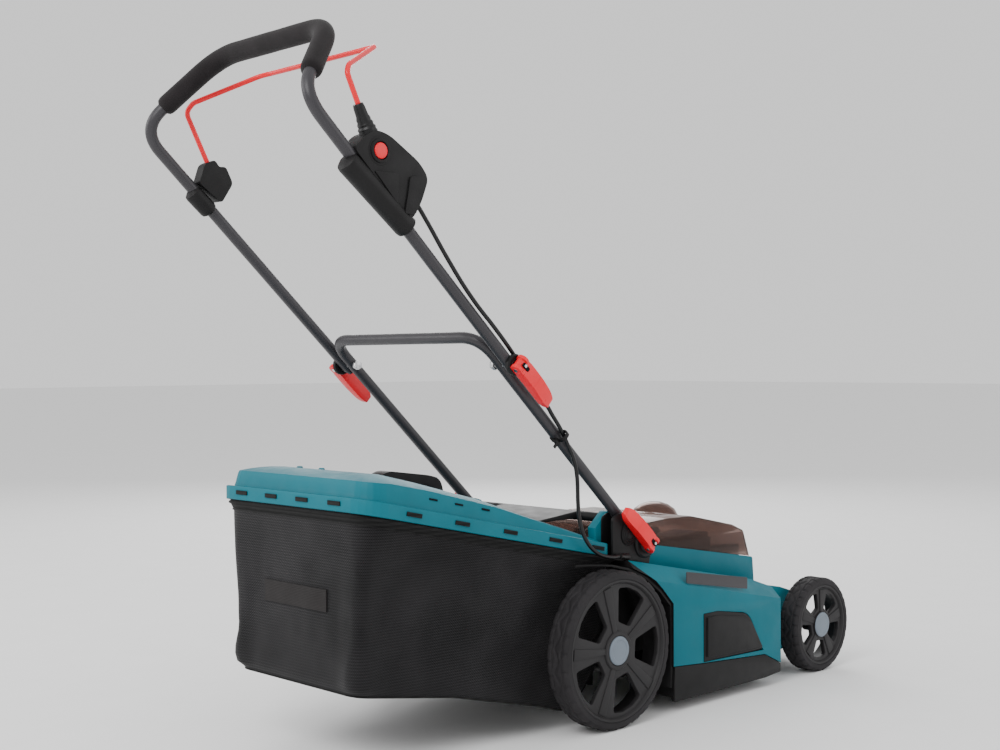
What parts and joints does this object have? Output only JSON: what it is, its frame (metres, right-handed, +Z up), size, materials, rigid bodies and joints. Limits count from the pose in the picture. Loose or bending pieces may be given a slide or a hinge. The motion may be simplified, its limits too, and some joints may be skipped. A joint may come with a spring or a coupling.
{
  "type": "lawn mower",
  "caption": "Battery walk-behind lawn mower with a folding tubular handle, a bail lever, cranked axles for cutting height and a grass catcher that slides out at the rear.",
  "frame": {"origin": "on the ground at the centre of the footprint, between the front of the nose and the rearmost bend of the handle", "axes": "+Z up; +Y from the nose to the operator's end, against the direction of travel; +X the mower's own left"},
  "size_m": [0.472, 1.2514, 1.0587],
  "materials": {
    "teal_plastic": "smooth moulded, soft gloss",
    "black_plastic": "fine grain",
    "wheel_plastic": "satin moulded",
    "graphite_metal": "powder coat",
    "tyre": "moulded tread",
    "rubber": "matt",
    "foam": "closed-cell foam",
    "mesh_fabric": "woven mesh",
    "red_plastic": "glossy",
    "red_metal": "glossy paint",
    "steel": "zinc plated",
    "cap_grey": "satin",
    "smoke_plastic": "smoked clear",
    "panel_grey": "smooth"
  },
  "bodies": {
    "deck": {"deck_base": "black_plastic", "deck_cover": "teal_plastic", "battery_housing": "teal_plastic", "side_hatch_right": "black_plastic", "side_hatch_left": "black_plastic", "battery_tray": "black_plastic", "motor_can": "steel", "controller_box": "black_plastic", "handle_bracket_right": "black_plastic", "handle_bracket_left": "black_plastic", "lower_clamp_bolt_right": "steel", "lower_clamp_bolt_left": "steel", "cable_tail": "rubber", "cable_gland": "rubber"},
    "height_lever": {"height_lever": "black_plastic"},
    "rear_axle": {"rear_axle": "steel"},
    "front_axle": {"front_axle": "steel"},
    "rear_wheel_right": {"rear_wheel_right_tyre": "tyre", "rear_wheel_right_rim": "wheel_plastic", "rear_wheel_right_hub_cap": "cap_grey"},
    "rear_wheel_left": {"rear_wheel_left_tyre": "tyre", "rear_wheel_left_rim": "wheel_plastic", "rear_wheel_left_hub_cap": "cap_grey"},
    "front_wheel_right": {"front_wheel_right_tyre": "tyre", "front_wheel_right_rim": "wheel_plastic", "front_wheel_right_hub_cap": "cap_grey"},
    "front_wheel_left": {"front_wheel_left_tyre": "tyre", "front_wheel_left_rim": "wheel_plastic", "front_wheel_left_hub_cap": "cap_grey"},
    "blade_drive": {"motor_rotor": "steel", "cutting_blade": "steel", "blade_bolt": "steel"},
    "battery_lid": {"battery_lid": "smoke_plastic"},
    "battery_pack_right": {"battery_pack_right": "wheel_plastic"},
    "battery_pack_left": {"battery_pack_left": "wheel_plastic"},
    "safety_key": {"safety_key": "red_plastic"},
    "rear_flap": {"rear_flap": "black_plastic"},
    "lower_handle": {"lower_handle_tube": "graphite_metal", "upper_clamp_bolt_right": "steel", "upper_clamp_bolt_left": "steel", "cable_lower": "rubber", "cable_clip": "black_plastic"},
    "upper_handle": {"upper_handle_tube": "graphite_metal", "foam_grip": "foam", "switch_box": "black_plastic", "bail_clamp": "black_plastic", "cable_upper": "rubber"},
    "bail": {"bail_wire": "red_metal", "bail_boot": "rubber"},
    "safety_button": {"safety_button": "red_plastic"},
    "lower_cam_lever_right": {"lower_cam_lever_right": "red_plastic"},
    "lower_cam_lever_left": {"lower_cam_lever_left": "red_plastic"},
    "upper_cam_lever_right": {"upper_cam_lever_right": "red_plastic"},
    "upper_cam_lever_left": {"upper_cam_lever_left": "red_plastic"},
    "grass_catcher": {"catcher_lid": "teal_plastic", "catcher_handle": "black_plastic", "lid_panel": "panel_grey", "catcher_bag": "mesh_fabric", "mouth_frame": "black_plastic", "bag_strap": "mesh_fabric"}
  },
  "joints": [
    {"name": "rear_axle_crank", "type": "hinge", "parent": "deck", "child": "rear_axle", "pos_m": [0, -0.0242, 0.071], "axis": [-1, 0, 0], "range_deg": [0, 36.8]},
    {"name": "front_axle_crank", "type": "hinge", "parent": "deck", "child": "front_axle", "pos_m": [0, -0.4622, 0.0628], "axis": [1, 0, 0], "range_deg": [0, 36.8]},
    {"name": "height_lever_turn", "type": "hinge", "parent": "deck", "child": "height_lever", "pos_m": [0.231, -0.1322, 0.122], "axis": [-1, 0, 0], "range_deg": [0, 36.8]},
    {"name": "rear_wheel_right_spin", "type": "hinge", "parent": "rear_axle", "child": "rear_wheel_right", "pos_m": [-0.2141, 0.0478, 0.125], "axis": [1, 0, 0], "continuous": true},
    {"name": "rear_wheel_left_spin", "type": "hinge", "parent": "rear_axle", "child": "rear_wheel_left", "pos_m": [0.2141, 0.0478, 0.125], "axis": [1, 0, 0], "continuous": true},
    {"name": "front_wheel_right_spin", "type": "hinge", "parent": "front_axle", "child": "front_wheel_right", "pos_m": [-0.2064, -0.5388, 0.087], "axis": [1, 0, 0], "continuous": true},
    {"name": "front_wheel_left_spin", "type": "hinge", "parent": "front_axle", "child": "front_wheel_left", "pos_m": [0.2064, -0.5388, 0.087], "axis": [1, 0, 0], "continuous": true},
    {"name": "blade_spin", "type": "hinge", "parent": "deck", "child": "blade_drive", "pos_m": [0, -0.2522, 0.1], "axis": [0, 0, 1], "continuous": true},
    {"name": "battery_lid_hinge", "type": "hinge", "parent": "deck", "child": "battery_lid", "pos_m": [0, -0.4422, 0.216], "axis": [1, 0, 0], "range_deg": [0, 70]},
    {"name": "battery_pack_right_slide", "type": "slide", "parent": "deck", "child": "battery_pack_right", "axis": [0, 0, 1], "range_m": [0, 0.01]},
    {"name": "battery_pack_left_slide", "type": "slide", "parent": "deck", "child": "battery_pack_left", "axis": [0, 0, 1], "range_m": [0, 0.01]},
    {"name": "safety_key_slide", "type": "slide", "parent": "deck", "child": "safety_key", "axis": [0, 0, 1], "range_m": [0, 0.008]},
    {"name": "rear_flap_hinge", "type": "hinge", "parent": "deck", "child": "rear_flap", "pos_m": [0, -0.0182, 0.322], "axis": [1, 0, 0], "range_deg": [0, 70]},
    {"name": "lower_handle_fold", "type": "hinge", "parent": "deck", "child": "lower_handle", "pos_m": [0, -0.0662, 0.28], "axis": [1, 0, 0], "range_deg": [0, 105], "deforming": ["cable_tail"]},
    {"name": "upper_handle_fold", "type": "hinge", "parent": "lower_handle", "child": "upper_handle", "pos_m": [0, 0.2518, 0.576], "axis": [-1, 0, 0], "range_deg": [-135, 0], "deforming": ["cable_upper"]},
    {"name": "bail_pull", "type": "hinge", "parent": "upper_handle", "child": "bail", "pos_m": [0, 0.5098, 0.872], "axis": [-1, 0, 0], "range_deg": [0, 22], "stiffness_Nm_per_rad": 1.5, "springref_deg": -20.05, "deforming": ["bail_boot"]},
    {"name": "safety_button_press", "type": "slide", "parent": "upper_handle", "child": "safety_button", "axis": [1, 0, 0], "range_m": [0, 0.004], "stiffness_N_per_m": 500, "springref_m": -0.002},
    {"name": "lower_cam_lever_right_turn", "type": "hinge", "parent": "deck", "child": "lower_cam_lever_right", "pos_m": [-0.205, -0.0662, 0.28], "axis": [0, -0.6833, 0.7302], "range_deg": [0, 110]},
    {"name": "lower_cam_lever_left_turn", "type": "hinge", "parent": "deck", "child": "lower_cam_lever_left", "pos_m": [0.205, -0.0662, 0.28], "axis": [0, 0.6833, -0.7302], "range_deg": [0, 110]},
    {"name": "upper_cam_lever_right_turn", "type": "hinge", "parent": "lower_handle", "child": "upper_cam_lever_right", "pos_m": [-0.2186, 0.2518, 0.576], "axis": [0, 0.6833, -0.7302], "range_deg": [0, 110]},
    {"name": "upper_cam_lever_left_turn", "type": "hinge", "parent": "lower_handle", "child": "upper_cam_lever_left", "pos_m": [0.2186, 0.2518, 0.576], "axis": [0, -0.6833, 0.7302], "range_deg": [0, 110]},
    {"name": "catcher_slide", "type": "slide", "parent": "deck", "child": "grass_catcher", "axis": [0, 1, 0], "range_m": [0, 0.35]}
  ],
  "couplings": [
    {"joint": "front_axle_crank", "follows": "rear_axle_crank", "ratio": 1},
    {"joint": "height_lever_turn", "follows": "rear_axle_crank", "ratio": 1}
  ]
}
